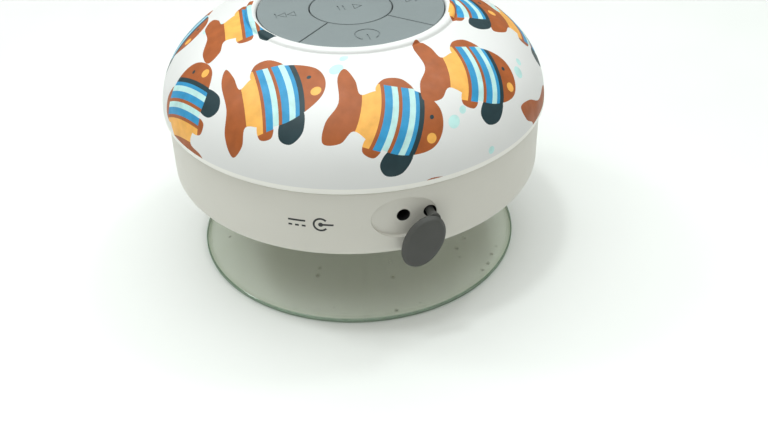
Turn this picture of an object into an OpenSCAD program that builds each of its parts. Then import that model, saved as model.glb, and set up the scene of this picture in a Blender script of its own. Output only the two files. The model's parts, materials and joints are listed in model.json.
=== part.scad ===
// Splash-proof bluetooth speaker with a suction cup.
// Millimetres, +Z up. The origin is the centre of the cup's rim, on the surface it grips.
// The charging port faces -Y and the keypad faces +Z.

/* [Housing] */
// Largest radius of the domed top shell, just above the seam
shell_r = 42.7; // [41:0.1:44]
// Radius of the lower shell's side wall
lower_r = 41.8; // [41.4:0.1:42.2]
// Height of the seam between the two shells
seam_z = 36.8; // [36.4:0.1:37.2]
// Height that the dome would reach on its axis, above the seam
dome_rise = 23.2; // [22.8:0.1:24]
// Shape of the dome: 2 is an ellipse, higher is squarer
dome_power = 2.2; // [2.1:0.05:2.4]
// Wall thickness of both shells
wall = 2.3; // [2:0.1:2.4]
// Underside of the lower shell
base_z = 21; // [20.6:0.1:21.2]
// Thickness of the base plate
base_t = 2; // [1.8:0.1:2]

/* [Keypad] */
// Radius of the round opening in the dome
opening_r = 20.4; // [20.3:0.05:20.8]
// Height of the top of the keys
key_top = 57.2; // [57:0.1:57.4]
// Outer radius of the four sector keys
key_r = 20.15; // [19.8:0.05:20.2]
// Radius of the groove round the centre key
centre_key_r = 9; // [8:0.1:10]
// Width of the grooves between keys
groove = 0.3; // [0.25:0.05:0.5]
// How far a key travels
key_travel = 0.4; // [0.3:0.05:0.4]

/* [Charging port] */
// Height of the centre of the port
port_z = 30; // [29.8:0.1:30.4]
// Distance of the port's flat floor from the housing's axis
port_floor = 41; // [40.8:0.1:41.1]
// Radius of the charging jack's bore
jack_r = 1.3; // [1.2:0.05:1.4]
// Length of the charging jack's bore, from the port's floor
jack_length = 11; // [10:0.1:11]
// Distance between the jack and the port cover's stem
stem_offset = 5.49; // [5.3:0.01:5.6]
// How far the cover is pulled out of its seat
cover_pull = 2.7; // [2.6:0.1:3]
// Angle of the cover about its stem: 180 lies over the jack, 270 hangs straight down
cover_angle = 246; // [200:1:300]

/* [Suction cup] */
// Radius of the cup's rim
cup_r = 37.5; // [36:0.1:38]
// Height of the hollow under the cup
cup_hollow = 6.4; // [6:0.1:6.8]
// Radius of the stud's shank
stud_r = 4.5; // [4:0.1:5]

/* [Driver] */
// Radius of the loudspeaker's flange
driver_r = 26; // [25.5:0.1:26.2]
// Radius of the paper cone
cone_r = 20; // [19.5:0.1:20.2]
// Radius of the magnet
magnet_r = 16.5; // [15:0.1:17]

/* [Electronics] */
// Radius of the main board
board_r = 30.5; // [29.8:0.1:30.6]
// Thickness of the main board
board_t = 1.2; // [1:0.1:1.2]
// Length, width and thickness of the battery
battery = [34, 20, 4.6];

/* [Hidden] */
$fn = 96;

// Sides of the round parts' outlines that are polygons
curve_steps = 24;
oval_steps = 64;
eps = 0.01;
diagonals = [45:90:315];
quarters = [0:90:270];

// Shells
edge_round = 0.8;
inner_r = shell_r - wall;
inner_rise = dome_rise - wall;
seam_gap = 0.2;
lip_outer_r = 22.7;
lip_height = 0.9;
lip_groove = 0.25;
seat_r = 24.6;
seat_z = 54.4;
base_top = base_z + base_t;
rim_z = seam_z - seam_gap;
tongue_r = 39.6;
tongue_t = 1.4;
tongue_h = 2.4;
base_round = 2.2;

// Screws that join the shells, from below
screw_circle = 34;
screw_r = 1.25;
screw_head_r = 2.5;
screw_head_z = 27;
screw_length = 12;
upper_boss_r = 3.1;
upper_boss_h = 24;
lower_boss_r = 3.6;
lower_boss_top = 30;

// Sound slots in the base
slot_count = 20;
slot_inner = 14;
slot_outer = 24;
slot_w = 2;

// Socket for the stud, under the base
socket_r = 12;
socket_wall = 3;
socket_z = 14.3;
socket_t = 2.2;
spigot_t = 1.5;
stud_play = 0.1;
stud_head_r = 7.5;
stud_head_z = socket_z + socket_t + spigot_t + stud_play;
stud_head_t = 2.1;
stud_flange_r = 7;
stud_flange_z = 10;
stud_flange_t = 1.5;

// Suction cup
rim_face = 3;
rim_t = 1.1;
cup_swell = 3.2;
hub_r = 9;
hub_z = 13.9;
hub_foot_r = 12.5;
mould_gap = 0.05;

// Keys and their switches
key_clearance = 0.1;
key_bottom = seat_z + key_travel + key_clearance;
post_r = 1.5;
post_bottom = 53.3;
key_circle = 14.5;
web_t = 0.7;
web_r = 24.2;
web_hole_r = 2;
spacer_inner = 21;
board_top = 50.9;
board_z = board_top - board_t;
switch_size = [4.5, 4.5, 1.5];
plunger_r = 1;
plunger_top = 53.25;
plunger_length = 1.35;

// Screws that hold the main board
board_circle = 27;
board_screw_r = 0.95;
board_screw_depth = 3;
board_screw_head = 1.8;
board_screw_head_t = 1.3;
board_boss_r = 2.3;
board_boss_h = 8;

// Charging port
port_a = 6.7;
port_b = 4.65;
pad_a = 9.2;
pad_b = 6;
pad_inner = 37.3;
stem_hole_r = 1.25;
cover_a = 6.2;
cover_b = 4.2;
cover_t = 1.3;
stem_r = 0.85;
stem_plug_r = 1.15;
stem_plug_l = 1.65;
barb_r = 1.6;
barb_l = 1.4;
barb_gap = 0.1;
cover_back = port_floor + cover_pull;

// Jack
jack_size = [6.4, 10, 5.5];
jack_low = 27.4;
contact_w = 1.2;
contact_t = 0.3;
contact_z = port_z + jack_r + 0.05;
contact_top = 34.6;
jack_board_z = 33;
jack_board_size = [12, 9.5, 1];
jack_rib_t = 1.2;

// Driver, from its front (low) to its back (high)
mesh_t = 0.3;
gasket_t = 0.8;
flange_z = base_top + mesh_t + gasket_t;
flange_t = 1.2;
flange_inner = 22.6;
front_z = flange_z + 0.5;
plate_z = 31.6;
plate_t = 2.5;
magnet_t = 5;
yoke_t = 2.2;
magnet_z = plate_z + plate_t;
yoke_z = magnet_z + magnet_t;
gap_outer = 9.05;
pole_r = 7.6;
coil_r = 8;
coil_wall = 0.45;
coil_z = 28.9;
coil_length = 6.1;
winding_r = 8.75;
ledge_r = 12.8;
ledge_z = 30.3;
driver_screw_circle = 28.6;
driver_screw_r = 0.9;
driver_screw_depth = 3;
driver_screw_head = 2.4;
driver_screw_head_t = 1.3;
driver_boss_r = 2;

// Wires
lead_r = 0.55;
battery_lead_r = 0.5;

// Battery
pad_t = 0.8;
battery_z = yoke_z + yoke_t + pad_t;

module at_angles(angles, r) {
    for (a = angles) rotate(a) translate([r, 0, 0]) children();
}

// A round-ended slot along X, centred on the origin
module slot_shape(length, width) {
    square([length - width, width], center = true);
    for (x = [-1, 1]) translate([x * (length - width) / 2, 0]) circle(d = width);
}

module ring(r_out, r_in, z, h) {
    translate([0, 0, z]) difference() {
        cylinder(r = r_out, h = h);
        translate([0, 0, -1]) cylinder(r = r_in, h = h + 2);
    }
}

// A box with its low X and Y faces centred on a point, standing on z
module block(centre, size) {
    translate([centre[0] - size[0] / 2, centre[1] - size[1] / 2, centre[2]]) cube(size);
}

module oval(a, b) {
    polygon([for (i = [0:oval_steps - 1]) let (t = 360 * i / oval_steps) [a * cos(t), b * sin(t)]]);
}

// Lays a flat outline in the port's wall, extruded outward from one distance to another
module on_port(from, to) {
    translate([0, -from, port_z]) rotate([90, 0, 0]) linear_extrude(to - from) children();
}

module port_hole(x, r, from, to) {
    translate([x, -from, port_z]) rotate([90, 0, 0]) cylinder(r = r, h = to - from);
}

// Points of the dome's section, from the seam (r = edge) inward to the radius r_end
function dome_point(edge, rise, t) =
    [edge * pow(cos(t), 2 / dome_power), seam_z + rise * pow(sin(t), 2 / dome_power)];
function dome_angle(edge, r) = acos(pow(r / edge, dome_power / 2));
function dome_height(edge, rise, r) = dome_point(edge, rise, dome_angle(edge, r))[1];
function dome_section(edge, rise, r_end, t0) =
    [for (i = [0:curve_steps]) dome_point(edge, rise, t0 + (dome_angle(edge, r_end) - t0) * i / curve_steps)];
function arc(cx, cy, rx, ry, a0, a1, n) =
    [for (i = [0:n]) let (t = a0 + (a1 - a0) * i / n) [cx + rx * cos(t), cy + ry * sin(t)]];

// A round lead along a route, as one swept tube with eight sides
function unit(v) = v / norm(v);
function route_dir(p, i) = unit(p[min(i + 1, len(p) - 1)] - p[max(i - 1, 0)]);
function route_side(d) = unit(cross(d, abs(d[1]) < 0.9 ? [0, 1, 0] : [1, 0, 0]));
module lead(route, r) {
    sides = 8;
    n = len(route);
    points = [for (i = [0:n - 1]) let (d = route_dir(route, i), u = route_side(d), v = cross(d, u))
        for (k = [0:sides - 1]) route[i] + r * (u * cos(360 * k / sides) + v * sin(360 * k / sides))];
    walls = [for (i = [0:n - 2], k = [0:sides - 1]) let (m = (k + 1) % sides)
        for (face = [
            [i * sides + k, (i + 1) * sides + m, i * sides + m],
            [i * sides + k, (i + 1) * sides + k, (i + 1) * sides + m]
        ]) face];
    low = [for (k = [0:sides - 1]) k];
    high = [for (k = [sides - 1:-1:0]) (n - 1) * sides + k];
    polyhedron(points, concat(walls, [low, high]));
}

// ---- Housing ----

module top_shell() {
    outer = dome_section(shell_r, dome_rise, lip_outer_r + 0.4, 4);
    inner = dome_section(inner_r, inner_rise, seat_r, 0);
    lip_r = (lip_outer_r + opening_r) / 2;
    lip_w = (lip_outer_r - opening_r) / 2;
    lip_foot = dome_height(shell_r, dome_rise, lip_outer_r) - lip_groove;
    section = concat(
        [[inner_r, seam_z]],
        arc(shell_r - edge_round, seam_z + edge_round, edge_round, edge_round, -90, -10, 6),
        outer,
        arc(lip_r, lip_foot, lip_w, lip_height, 0, 180, 12),
        [[opening_r, seat_z], [seat_r, seat_z]],
        [for (i = [curve_steps:-1:1]) inner[i]]
    );
    color("white") {
        difference() {
            union() {
                rotate_extrude() polygon(section);
                // Bosses for the main board's screws, and for those from below
                intersection() {
                    union() {
                        at_angles(diagonals, board_circle)
                            translate([0, 0, board_top]) cylinder(r = board_boss_r, h = board_boss_h);
                        at_angles(diagonals, screw_circle)
                            translate([0, 0, lower_boss_top + 0.3])
                                cylinder(r = upper_boss_r, h = upper_boss_h);
                    }
                    rotate_extrude() polygon(concat(
                        [[0, lower_boss_top], [inner_r + 0.5, lower_boss_top]],
                        dome_section(inner_r + 0.5, inner_rise + 0.5, opening_r + 1, 0),
                        [[0, seat_z + 1]]
                    ));
                }
            }
            at_angles(diagonals, board_circle)
                translate([0, 0, board_top - 1]) cylinder(r = board_screw_r, h = board_screw_depth + 1.3);
            at_angles(diagonals, screw_circle)
                translate([0, 0, lower_boss_top - 1]) cylinder(r = screw_r, h = screw_length);
        }
    }
}

module lower_shell() {
    // Side wall with a rounded foot, the flat base and the tongue that enters the top shell
    section = concat(
        [[0, base_z], [lower_r - base_round, base_z]],
        arc(lower_r - base_round, base_z + base_round, base_round, base_round, -90, 0, 8),
        [
            [lower_r, rim_z], [tongue_r, rim_z],
            [tongue_r, rim_z + tongue_h], [tongue_r - tongue_t, rim_z + tongue_h],
            [tongue_r - tongue_t, rim_z - 1.6], [lower_r - wall, rim_z - 2.9],
            [lower_r - wall, base_top], [0, base_top]
        ]
    );
    color("gainsboro") difference() {
        union() {
            rotate_extrude() polygon(section);
            // Tube that carries the cup's socket, under the base
            ring(socket_r, socket_r - socket_wall, socket_z + socket_t, base_z + eps - socket_z - socket_t);
            // Thick wall behind the port
            intersection() {
                on_port(pad_inner, lower_r) oval(pad_a, pad_b);
                translate([0, 0, base_z]) cylinder(r = lower_r - 0.5, h = 20);
            }
            at_angles(diagonals, screw_circle)
                translate([0, 0, base_z + 1]) cylinder(r = lower_boss_r, h = lower_boss_top - base_z - 1);
            at_angles(quarters, driver_screw_circle)
                translate([0, 0, base_z + 1])
                    cylinder(r = driver_boss_r, h = flange_z + flange_t - base_z - 1);
            // Ribs that hold the jack from both sides
            for (x = [-1, 1])
                block([x * (jack_size[0] + jack_rib_t + 0.1) / 2, -31.75, base_z + 1],
                    [jack_rib_t, 6.5, jack_board_z - base_z - 1]);
        }
        on_port(port_floor, lower_r + 2) oval(port_a, port_b);
        port_hole(0, jack_r, pad_inner - 1, lower_r + 1);
        port_hole(stem_offset, stem_hole_r, pad_inner - 1, lower_r + 1);
        translate([0, 0, base_z - 1]) linear_extrude(base_t + 2)
            at_angles([9:360 / slot_count:359], (slot_inner + slot_outer) / 2)
                slot_shape(slot_outer - slot_inner, slot_w);
        at_angles(diagonals, screw_circle) {
            translate([0, 0, base_z - 1]) cylinder(r = screw_head_r + 0.2, h = screw_head_z - base_z + 1);
            translate([0, 0, base_z]) cylinder(r = screw_r + 0.2, h = lower_boss_top);
        }
        at_angles(quarters, driver_screw_circle)
            translate([0, 0, base_z + 1.2]) cylinder(r = driver_screw_r, h = 10);
    }
}

module shell_seal() {
    color("dimgray") translate([0, 0, rim_z + 0.34])
        rotate_extrude() translate([(tongue_r + inner_r) / 2, 0]) circle(r = 0.33);
}

module body_screws() {
    color("silver") at_angles(diagonals, screw_circle) difference() {
        union() {
            translate([0, 0, screw_head_z - 1.8]) cylinder(r = screw_head_r, h = 1.8);
            translate([0, 0, screw_head_z - eps]) cylinder(r = screw_r, h = screw_length + eps);
        }
        // Cross recess in the head
        for (a = [0, 90]) rotate(a)
            translate([-1.4, -0.25, screw_head_z - 2.8]) cube([2.8, 0.5, 2]);
    }
}

module splash_mesh() {
    color("black") ring(driver_r, socket_r + 0.5, base_top, mesh_t);
}

// ---- Suction cup and its swivel ----

module cup_socket() {
    color("gainsboro") difference() {
        union() {
            translate([0, 0, socket_z]) cylinder(r = socket_r, h = socket_t);
            translate([0, 0, socket_z + socket_t - eps])
                cylinder(r = socket_r - socket_wall - 0.05, h = spigot_t + eps);
        }
        translate([0, 0, socket_z - 1]) cylinder(r = stud_r + stud_play, h = socket_t + spigot_t + 2);
    }
}

module cup_stud() {
    color("white") {
        translate([0, 0, stud_flange_z]) cylinder(r = stud_flange_r, h = stud_flange_t);
        translate([0, 0, stud_flange_z]) cylinder(r = stud_r, h = stud_head_z - stud_flange_z + 1);
        translate([0, 0, stud_head_z]) rotate_extrude() polygon([
            [0, 0], [stud_head_r, 0], [stud_head_r, 0.7], [stud_head_r - 1.4, stud_head_t], [0, stud_head_t]
        ]);
    }
}

// Height of the cup's underside, and its thickness, at the radius r
function cup_under(r) = r >= cup_r - rim_face ? 0 : cup_hollow * (1 - pow(r / (cup_r - rim_face), 2));
function cup_thick(r) = rim_t + cup_swell * pow(1 - r / cup_r, 2);

module suction_cup() {
    under = [for (i = [0:curve_steps - 1]) let (r = (cup_r - rim_face) * i / curve_steps) [r, cup_under(r)]];
    over = [for (i = [0:curve_steps - 1])
        let (r = cup_r - rim_face - (cup_r - rim_face - hub_foot_r) * i / (curve_steps - 1))
        [r, cup_under(r) + cup_thick(r)]];
    foot = over[curve_steps - 1];
    section = concat(
        under,
        [[cup_r - rim_face, 0], [cup_r, 0], [cup_r, rim_t * 0.8]],
        over,
        [
            [hub_r + 1, foot[1] + 0.9], [hub_r, foot[1] + 2.2],
            [hub_r, hub_z - 0.5], [hub_r - 0.5, hub_z], [0, hub_z]
        ]
    );
    color("paleturquoise", 0.5) difference() {
        rotate_extrude() polygon(section);
        // The cup is moulded round the stud's flange
        translate([0, 0, stud_flange_z - mould_gap])
            cylinder(r = stud_flange_r + mould_gap, h = stud_flange_t + 2 * mould_gap);
        translate([0, 0, stud_flange_z]) cylinder(r = stud_r + mould_gap, h = hub_z);
    }
}

// ---- Keypad ----

// Outline of the sector key that is centred on +X
module sector_shape() {
    reach = key_r * 2;
    intersection() {
        difference() {
            circle(r = key_r);
            circle(r = centre_key_r + groove / 2);
        }
        translate([groove / sqrt(2), 0]) polygon([[0, 0], [reach, -reach], [reach, reach]]);
    }
}

module key_post(x) {
    translate([x, 0, post_bottom]) cylinder(r = post_r, h = key_bottom - post_bottom + eps);
}

module sector_key(angle) {
    color("slategray") rotate(angle) {
        translate([0, 0, key_bottom]) linear_extrude(key_top - key_bottom) sector_shape();
        key_post(key_circle);
    }
}

module play_key() {
    color("slategray") {
        translate([0, 0, key_bottom]) cylinder(r = centre_key_r - groove / 2, h = key_top - key_bottom);
        key_post(0);
    }
}

module next_key() { sector_key(0); }
module answer_key() { sector_key(90); }
module previous_key() { sector_key(180); }
module power_key() { sector_key(270); }

module plunger(angle, r) {
    color("black") rotate(angle) translate([r, 0, plunger_top - plunger_length])
        cylinder(r = plunger_r, h = plunger_length);
}

module play_plunger() { plunger(0, 0); }
module next_plunger() { plunger(0, key_circle); }
module answer_plunger() { plunger(90, key_circle); }
module previous_plunger() { plunger(180, key_circle); }
module power_plunger() { plunger(270, key_circle); }

module tact_switches() {
    color("silver") for (place = [[0, 0], [0, 1], [90, 1], [180, 1], [270, 1]])
        rotate(place[0]) translate([place[1] * key_circle, 0, 0]) difference() {
            block([0, 0, board_top], switch_size);
            translate([0, 0, board_top + 0.5]) cylinder(r = plunger_r + 0.1, h = 3);
        }
}

module keypad_web() {
    color("slategray") difference() {
        translate([0, 0, seat_z - web_t]) cylinder(r = web_r, h = web_t);
        for (place = [[0, 0], [0, 1], [90, 1], [180, 1], [270, 1]])
            rotate(place[0]) translate([place[1] * key_circle, 0, seat_z - web_t - 1])
                cylinder(r = web_hole_r, h = web_t + 2);
    }
}

module keypad_spacer() {
    color("lightgray") ring(web_r, spacer_inner, board_top, seat_z - web_t - board_top);
}

// ---- Charging port ----

module port_cover() {
    color("dimgray") translate([stem_offset, 0, port_z]) rotate([90, 0, 0]) {
        // Plate with a chamfered outer edge, and the plug for the jack on its back
        rotate(cover_angle) translate([stem_offset, 0, 0]) {
            translate([0, 0, cover_back]) linear_extrude(cover_t - 0.4) oval(cover_a, cover_b);
            translate([0, 0, cover_back + cover_t - 0.4 - eps])
                linear_extrude(0.4 + eps) oval(cover_a - 0.35, cover_b - 0.35);
            translate([0, 0, cover_back - stem_plug_l]) cylinder(r = stem_plug_r, h = stem_plug_l + eps);
        }
        translate([0, 0, pad_inner - barb_gap - eps])
            cylinder(r = stem_r, h = cover_back + 2 * eps + barb_gap - pad_inner);
        translate([0, 0, pad_inner - barb_gap - barb_l]) cylinder(r1 = stem_r * 0.7, r2 = barb_r, h = barb_l);
    }
}

// Both springs of the jack, with their legs up through its board. They clear the plug's bore.
module contact_shapes(grow) {
    block([0, -32.5, contact_z], [contact_w, 4, contact_t + grow]);
    block([0, -30.6, contact_z], [contact_w, contact_t, contact_top - contact_z]);
    block([0, -port_floor + jack_length + 0.05 + contact_t / 2, port_z - 0.6],
        [contact_w, contact_t, contact_top - port_z + 0.6]);
}

module dc_jack() {
    color("black") difference() {
        block([0, -pad_inner + jack_size[1] / 2, jack_low], jack_size);
        port_hole(0, jack_r, port_floor - jack_length, pad_inner + 1);
        // Pockets for the springs, the upper one open to the bore
        block([0, -32.5, port_z + 0.9], [contact_w, 4, contact_z - port_z - 0.9 + eps]);
        contact_shapes(0.2);
    }
}

module jack_contacts() {
    color("gold") contact_shapes(0);
}

module jack_board() {
    color("seagreen") difference() {
        block([0, -32, jack_board_z], jack_board_size);
        contact_shapes(0.2);
    }
}

module jack_leads() {
    for (x = [-1, 1]) color(x < 0 ? "black" : "red")
        lead([
            [4.4 * x, -29, 34], [4.4 * x, -29, 37], [4.2 * x, -28.2, 41],
            [4 * x, -26.6, 45], [4 * x, -26, 48], [4 * x, -26, board_z]
        ], lead_r);
}

// ---- Electronics ----

module main_board() {
    color("seagreen") difference() {
        translate([0, 0, board_z]) cylinder(r = board_r, h = board_t);
        at_angles(diagonals, board_circle)
            translate([0, 0, board_z - 1]) cylinder(r = board_screw_r + 0.1, h = board_t + 2);
    }
}

module board_screws() {
    color("silver") at_angles(diagonals, board_circle) difference() {
        union() {
            translate([0, 0, board_z - board_screw_head_t])
                cylinder(r = board_screw_head, h = board_screw_head_t);
            translate([0, 0, board_z - eps])
                cylinder(r = board_screw_r, h = board_t + board_screw_depth);
        }
        for (a = [0, 90]) rotate(a)
            translate([-1.1, -0.2, board_z - board_screw_head_t - 1]) cube([2.2, 0.4, 1.6]);
    }
}

// A part soldered under the main board
module under_board(x, y, size) {
    block([x, y, board_z - size[2]], size);
}

module bluetooth_chip() { color("black") under_board(-4, 16, [6, 6, 0.9]); }
module amplifier_chip() { color("black") under_board(7, 16, [5, 4, 1.4]); }
module charger_chip() { color("black") under_board(8, -16, [3, 3, 1.1]); }
module crystal() { color("silver") under_board(-11, 16, [3.2, 2.5, 0.8]); }

module capacitors() {
    places = [[-8, 21], [-4, 22], [0, 21], [12, 17], [12, 20], [3, -17], [13, -15], [-3, -17]];
    color("peru") for (place = places) under_board(place[0], place[1], [1.6, 0.8, 0.9]);
}

module inductors() {
    color("dimgray") for (x = [6, 11]) under_board(x, 22.5, [4, 3.6, 1.8]);
}

module status_led() {
    color("aliceblue") translate([0, 0, board_top]) rotate(20) translate([27.5, 0, 0])
        block([0, 0, 0], [1.6, 0.8, 0.7]);
}

module microphone() {
    color("silver") translate([0, 0, board_top]) rotate(-20) translate([27.3, 0, 0])
        block([0, 0, 0], [3, 3.8, 1]);
}

module battery_cell() {
    color("silver") block([0, 0, battery_z], battery);
}

module battery_pad() {
    color("white") block([0, 0, battery_z - pad_t], [20, 14, pad_t]);
}

module battery_socket() {
    color("ivory") under_board(24.6, 0, [3.2, 6.4, 2.8]);
}

module battery_plug() {
    color("white") block([21.5, 0, board_z - 2.5], [3, 5.4, 2.2]);
}

module battery_leads() {
    for (y = [-1, 1]) color(y < 0 ? "black" : "red")
        lead([
            [17, 3 * y, 44.4], [18.2, 3 * y, 44.4], [19, 2.6 * y, 45], [19.2, 1.9 * y, 46.6],
            [19.3, 1.6 * y, 47.8], [19.6, 1.5 * y, 48.3], [20, 1.5 * y, 48.3]
        ], battery_lead_r);
}

// ---- Loudspeaker driver, facing down ----

module driver_basket() {
    wall_t = 0.9;
    color("darkslategray") difference() {
        rotate_extrude() polygon([
            [flange_inner, flange_z], [driver_r, flange_z], [driver_r, flange_z + flange_t],
            [24.4, flange_z + flange_t], [ledge_r + 5, plate_z - 0.4], [magnet_r - 1, plate_z],
            [gap_outer + 0.45, plate_z], [gap_outer + 0.45, ledge_z + 0.9], [ledge_r, ledge_z + 0.9],
            [ledge_r, ledge_z], [ledge_r + 4, ledge_z], [24.4 - wall_t, flange_z + flange_t],
            [flange_inner, flange_z + flange_t]
        ]);
        // Four windows between the legs
        for (a = quarters) rotate(a)
            translate([19, -6, flange_z + flange_t + 0.6]) cube([6, 12, 2.8]);
    }
}

module driver_top_plate() {
    color("silver") ring(magnet_r - 1.5, gap_outer, plate_z, plate_t);
}

module driver_magnet() {
    color("dimgray") ring(magnet_r, gap_outer + 1.5, magnet_z, magnet_t);
}

module driver_yoke() {
    color("silver") {
        translate([0, 0, yoke_z]) cylinder(r = magnet_r - 2, h = yoke_t);
        translate([0, 0, plate_z + 0.2]) cylinder(r = pole_r, h = yoke_z - plate_z);
    }
}

module driver_gasket() {
    color("black") ring(driver_r, flange_inner + 0.8, base_top + mesh_t, gasket_t);
}

module driver_screws() {
    color("silver") at_angles(quarters, driver_screw_circle) {
        translate([0, 0, flange_z + flange_t])
            cylinder(r = driver_screw_head, h = driver_screw_head_t);
        translate([0, 0, flange_z + flange_t - driver_screw_depth])
            cylinder(r = driver_screw_r, h = driver_screw_depth + eps);
    }
}

module driver_terminals() {
    color("peru") rotate(150) block([25.25, 0, flange_z + flange_t], [1.4, 7, 0.8]);
}

module speaker_leads() {
    for (y = [-1, 1]) color(y < 0 ? "black" : "red") rotate(150)
        lead([
            [25.25, 2.2 * y, flange_z + flange_t + 0.8], [25.25, 2.2 * y, 29], [25.2, 2 * y, 34],
            [24.9, 1.6 * y, 40], [24, 1.5 * y, 45], [23.6, 1.5 * y, 48], [23.6, 1.5 * y, board_z]
        ], lead_r);
}

module driver_cone() {
    color("dimgray") rotate_extrude() polygon([
        [cone_r, front_z], [coil_r + coil_wall + 0.02, coil_z], [coil_r + coil_wall + 0.02, coil_z + 0.4],
        [cone_r, front_z + 0.4]
    ]);
}

module voice_coil() {
    color("peru") {
        ring(coil_r + coil_wall, coil_r, coil_z, coil_length);
        ring(winding_r, coil_r + coil_wall - eps, plate_z + 0.2, plate_t - 0.4);
    }
}

module dust_cap() {
    cap_r = coil_r + 1.4;
    // The cap's rim lies on the front of the cone
    rim = coil_z - (cap_r - coil_r - coil_wall) * (coil_z - front_z) / (cone_r - coil_r - coil_wall) - 0.02;
    color("black") rotate_extrude() polygon(concat(
        arc(0, rim, cap_r, 1.8, -90, 0, 10),
        [[cap_r - 0.3, rim]],
        arc(0, rim, cap_r - 0.3, 1.5, 0, -90, 10)
    ));
}

module driver_surround() {
    roll_r = (flange_inner - cone_r) / 2;
    mid = (flange_inner + cone_r) / 2;
    color("black") rotate_extrude() polygon(concat(
        arc(mid, front_z, roll_r, roll_r, 0, 180, 10),
        arc(mid, front_z, roll_r - 0.3, roll_r - 0.3, 180, 0, 10)
    ));
}

module driver_spider() {
    inner = coil_r + coil_wall;
    outer = ledge_r + 1.5;
    sheet_t = 0.3;
    waves = 3;
    wave_depth = 0.2;
    // The middle stands up round the coil, clear of the cone at its highest
    rise = 0.45;
    steps = 27;
    section = [for (i = [0:steps]) let (
        along = i / steps,
        wave = wave_depth / 2 * (1 - cos(360 * waves * along)))
        [inner + (ledge_r - inner) * along, ledge_z - sheet_t + rise * (1 - along) - wave]];
    color("goldenrod") rotate_extrude() polygon(concat(
        section,
        [[outer, ledge_z - sheet_t], [outer, ledge_z]],
        [for (i = [steps:-1:0]) section[i] + [0, sheet_t]]
    ));
}

top_shell();
lower_shell();
shell_seal();
body_screws();
cup_socket();
suction_cup();
cup_stud();
play_key();
answer_key();
previous_key();
next_key();
power_key();
play_plunger();
answer_plunger();
previous_plunger();
next_plunger();
power_plunger();
tact_switches();
keypad_web();
keypad_spacer();
port_cover();
main_board();
board_screws();
bluetooth_chip();
amplifier_chip();
charger_chip();
crystal();
capacitors();
inductors();
status_led();
microphone();
dc_jack();
jack_contacts();
jack_board();
jack_leads();
battery_cell();
battery_pad();
battery_leads();
battery_plug();
battery_socket();
driver_basket();
driver_top_plate();
driver_magnet();
driver_yoke();
driver_gasket();
driver_screws();
driver_terminals();
speaker_leads();
splash_mesh();
driver_surround();
driver_spider();
driver_cone();
voice_coil();
dust_cap();
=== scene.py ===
"""Looks of a splash-proof speaker with a suction cup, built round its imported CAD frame.

The frame is in metres. The shapes below are made in millimetres, and place() scales them.
"""

import json
import math

import bmesh
import bpy
from mathutils import Matrix, Vector
from mathutils.geometry import delaunay_2d_cdt


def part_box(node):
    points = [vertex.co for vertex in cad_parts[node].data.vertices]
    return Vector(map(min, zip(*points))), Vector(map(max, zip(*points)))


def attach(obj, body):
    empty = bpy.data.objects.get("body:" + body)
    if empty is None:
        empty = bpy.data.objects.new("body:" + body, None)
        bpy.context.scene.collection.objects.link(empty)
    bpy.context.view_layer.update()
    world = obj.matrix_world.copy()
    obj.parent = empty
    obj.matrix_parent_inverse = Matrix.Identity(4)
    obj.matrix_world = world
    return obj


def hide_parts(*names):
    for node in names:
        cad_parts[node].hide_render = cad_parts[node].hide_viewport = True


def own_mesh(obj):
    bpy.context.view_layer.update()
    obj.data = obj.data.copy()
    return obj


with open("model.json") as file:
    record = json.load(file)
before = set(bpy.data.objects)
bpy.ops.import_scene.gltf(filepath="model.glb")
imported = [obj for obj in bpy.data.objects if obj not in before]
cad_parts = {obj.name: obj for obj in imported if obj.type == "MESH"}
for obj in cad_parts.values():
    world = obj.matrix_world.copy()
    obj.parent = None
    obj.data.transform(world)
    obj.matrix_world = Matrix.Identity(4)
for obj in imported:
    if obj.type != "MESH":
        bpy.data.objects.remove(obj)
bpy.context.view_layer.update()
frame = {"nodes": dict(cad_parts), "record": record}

MM = 0.001
HOUSING = "housing"


def low(node):
    """Lowest corner of a CAD node, in millimetres."""
    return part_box(node)[0] / MM


def high(node):
    """Highest corner of a CAD node, in millimetres."""
    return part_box(node)[1] / MM


# ---- Sizes that the frame's boxes don't hold, in millimetres and degrees ----

SEAM_Z = 36.8
SEAM_GAP = 0.2
DOME_R = 42.7
DOME_RISE = 23.2
DOME_POWER = 2.2
EDGE_ROUND = 0.8
SHELL_WALL = 2.3
OPENING_R = 20.4
LIP_OUTER_R = 22.7
SEAT_R = 24.6
LOWER_R = 41.8
BASE_T = 2.0
BASE_ROUND = 2.2
TONGUE_R, TONGUE_T, TONGUE_H = 39.6, 1.4, 2.4
SLOT_CIRCLE = 19
SCREW_CIRCLE = 34
BOSS_R, BOSS_TOP = 3.6, 30
DRIVER_CIRCLE = 28.6
DRIVER_BOSS_R, DRIVER_BOSS_TOP = 2, 25.3
QUARTERS = range(45, 360, 90)
CROSS = range(0, 360, 90)

PORT_A, PORT_B = 6.7, 4.65
PAD_A, PAD_B = 9.2, 6
PAD_BACK, PAD_FRONT = 37.3, 40.5
JACK_R = 1.3
STEM_HOLE_R = 1.25
STEM_X = 5.49
# The black sleeves are painted shade, put in the port's two holes where shade falls.
SHADE_SLEEVE_T = 0.09  # wall of the black sleeves in the port's two holes
HOLE_EDGE = 0.04  # how far the mouths of those holes widen
COVER_A, COVER_B = 6.2, 4.2
COVER_BACK = 43.7
COVER_T = 1.3
COVER_ANGLE = 246

KEY_LIFT = 0.5  # height of the keys' undersides over the keypad's web
CENTRE_KEY_R = 9.0
GROOVE = 0.3  # width of the gaps between the keys
KEY_CIRCLE = 14.5
POST_R = 1.5
SYMBOL_W = 0.36  # width of the tool that engraves the symbols
SYMBOL_SINK = 0.06  # depth of that round tool's middle under the key's face

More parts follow.
